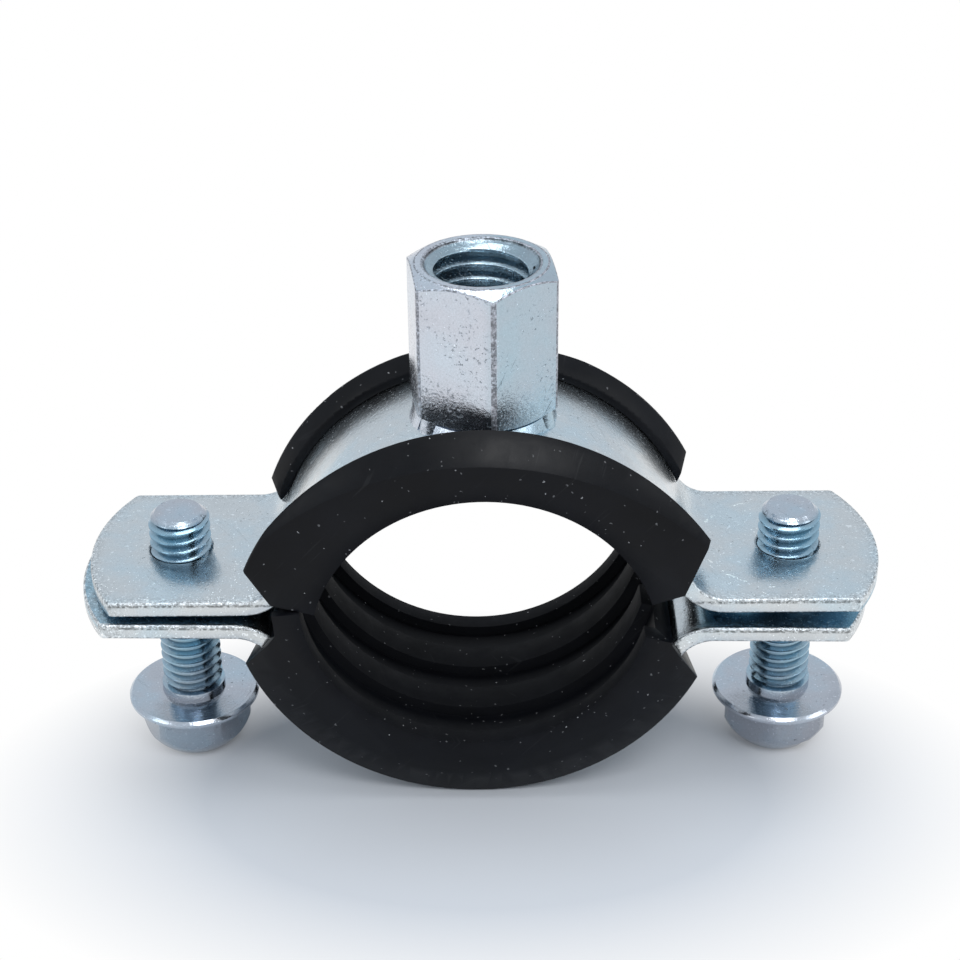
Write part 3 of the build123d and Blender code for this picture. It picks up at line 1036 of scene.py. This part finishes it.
class CLAMP_OT_stage(bpy.types.Operator):
    """Lays the floor and sets the lamps, the world and the camera"""

    bl_idname = "pipe_clamp.stage"
    bl_label = "Stage"

    floor_size = 4
    white_from = 0.017  # about how far from the clamp's middle the floor starts to whiten
    white_to = 0.032  # and is white
    white_centre = (0, 0.010, 0)
    white_squeeze = (0.62, 1.0, 1.0)  # width counts less than depth
    world_colour = (0.88, 0.94, 1.0, 1)
    world_strength = 0.82
    lamp_target = (0, 0, 0.02)
    # each lamp's name, place, side and power
    lamps = (
        ("top soft box", (0.0, 0.04, 0.55), 0.3, 0.8),
        ("front soft box", (0.09, -0.30, 0.46), 0.2, 0.8),
        ("left soft box", (-0.45, -0.25, 0.35), 0.25, 0.3),
        ("right soft box", (0.45, -0.15, 0.30), 0.25, 0.3),
    )
    eye_place = (0.000612, -0.172852, 0.130305)
    eye_yaw = radians(-0.3177)
    eye_pitch = radians(30.225)
    eye_roll = radians(-0.5848)
    focal_length = 78.735
    sensor_width = 36.0

    def execute(self, context):
        colours = context.scene.clamp_colours
        bpy.ops.object.select_all(action="DESELECT")
        bpy.ops.mesh.primitive_plane_add(size=self.floor_size, location=(0, 0, 0))
        floor = bpy.context.object
        floor.name = "floor"
        floor.data.materials.append(self.floor_material(colours.floor))
        for name, place, size, power in self.lamps:
            self.lamp(name, place, size, power)
        world = bpy.data.worlds.new("studio")
        world.use_nodes = True
        background = world.node_tree.nodes["Background"]
        background.inputs["Color"].default_value = self.world_colour
        background.inputs["Strength"].default_value = self.world_strength
        context.scene.world = world
        context.scene.view_settings.view_transform = "Standard"
        self.camera(context)
        return {"FINISHED"}

    def floor_material(self, colour):
        """Pale floor. It goes to plain white away from the clamp, for the camera and in reflections, which
        paints the outer edge of the clamp's shadow.
        """
        material, tree, shader, vector = new_material("pale floor")
        shader.inputs["Base Color"].default_value = (*colour, 1)
        shader.inputs["Roughness"].default_value = 0.6
        shader.inputs["Specular IOR Level"].default_value = 0.3
        length = tree.nodes.new("ShaderNodeVectorMath")
        length.operation = "LENGTH"
        middle = tree.nodes.new("ShaderNodeMapping")
        middle.inputs["Location"].default_value = self.white_centre
        middle.inputs["Scale"].default_value = self.white_squeeze
        tree.links.new(vector, middle.inputs["Vector"])
        tree.links.new(middle.outputs[0], length.inputs[0])
        # painted shadow: the floor stays grey near the clamp and turns white away from it
        far = ramp(tree, length.outputs["Value"], self.white_from, self.white_to)
        rays = tree.nodes.new("ShaderNodeLightPath")
        seen = calculate(tree, "ADD", rays.outputs["Is Camera Ray"], rays.outputs["Is Glossy Ray"])
        seen = calculate(tree, "ADD", seen, rays.outputs["Is Transmission Ray"], clamp=True)
        white = tree.nodes.new("ShaderNodeEmission")
        white.inputs["Color"].default_value = (1, 1, 1, 1)
        white.inputs["Strength"].default_value = 1.0
        blend = tree.nodes.new("ShaderNodeMixShader")
        tree.links.new(product(tree, far, seen), blend.inputs[0])
        tree.links.new(shader.outputs[0], blend.inputs[1])
        tree.links.new(white.outputs[0], blend.inputs[2])
        tree.links.new(blend.outputs[0], tree.nodes["Material Output"].inputs["Surface"])
        return material

    def lamp(self, name, place, size, power):
        """A square lamp that faces the clamp."""
        light = bpy.data.lights.new(name, "AREA")
        light.shape = "SQUARE"
        light.size = size
        light.energy = power
        lamp = bpy.data.objects.new(name, light)
        lamp.location = place
        aim = Vector(self.lamp_target) - Vector(place)
        lamp.rotation_euler = aim.to_track_quat("-Z", "Y").to_euler()
        bpy.context.scene.collection.objects.link(lamp)

    def camera(self, context):
        """Sets the camera from its place and the three angles that it is turned by."""
        yaw, pitch, roll = self.eye_yaw, self.eye_pitch, self.eye_roll
        forward = Vector((sin(yaw) * cos(pitch), cos(yaw) * cos(pitch), -sin(pitch)))
        right = Vector((cos(yaw), -sin(yaw), 0))
        up = right.cross(forward)
        turned_right = right * cos(roll) + up * sin(roll)
        turned_up = up * cos(roll) - right * sin(roll)
        lens = bpy.data.cameras.new("camera")
        lens.sensor_width = self.sensor_width
        lens.lens = self.focal_length
        lens.clip_start = 0.005
        eye = bpy.data.objects.new("camera", lens)
        turn = Matrix((turned_right, turned_up, -forward)).transposed()
        eye.matrix_world = Matrix.Translation(self.eye_place) @ turn.to_4x4()
        context.scene.collection.objects.link(eye)
        context.scene.camera = eye


class CLAMP_PT_panel(bpy.types.Panel):
    """Lists the sizes, the colours and the steps of the clamp"""

    bl_idname = "CLAMP_PT_panel"
    bl_label = "Pipe clamp"
    bl_space_type = "VIEW_3D"
    bl_region_type = "UI"
    bl_category = "Pipe clamp"

    def draw(self, context):
        for group in (context.scene.clamp_sizes, context.scene.clamp_colours):
            for name in group.bl_rna.properties.keys():
                if name not in ("rna_type", "name"):
                    self.layout.prop(group, name)
        for step in STEPS:
            self.layout.operator(step.bl_idname)


STEPS = (
    CLAMP_OT_finishes,
    CLAMP_OT_bands,
    CLAMP_OT_liners,
    CLAMP_OT_nut,
    CLAMP_OT_screws,
    CLAMP_OT_stage,
)
CLASSES = (ClampSizes, ClampColours, *STEPS, CLAMP_PT_panel)


def register():
    for entry in CLASSES:
        bpy.utils.register_class(entry)
    bpy.types.Scene.clamp_sizes = PointerProperty(type=ClampSizes)
    bpy.types.Scene.clamp_colours = PointerProperty(type=ClampColours)


def unregister():
    del bpy.types.Scene.clamp_colours
    del bpy.types.Scene.clamp_sizes
    for entry in reversed(CLASSES):
        bpy.utils.unregister_class(entry)


def main():
    register()
    bpy.ops.pipe_clamp.finishes()
    bpy.ops.pipe_clamp.bands()
    bpy.ops.pipe_clamp.liners()
    bpy.ops.pipe_clamp.nut()
    bpy.ops.pipe_clamp.screws()
    bpy.ops.pipe_clamp.stage()


if __name__ == "__main__":
    main()
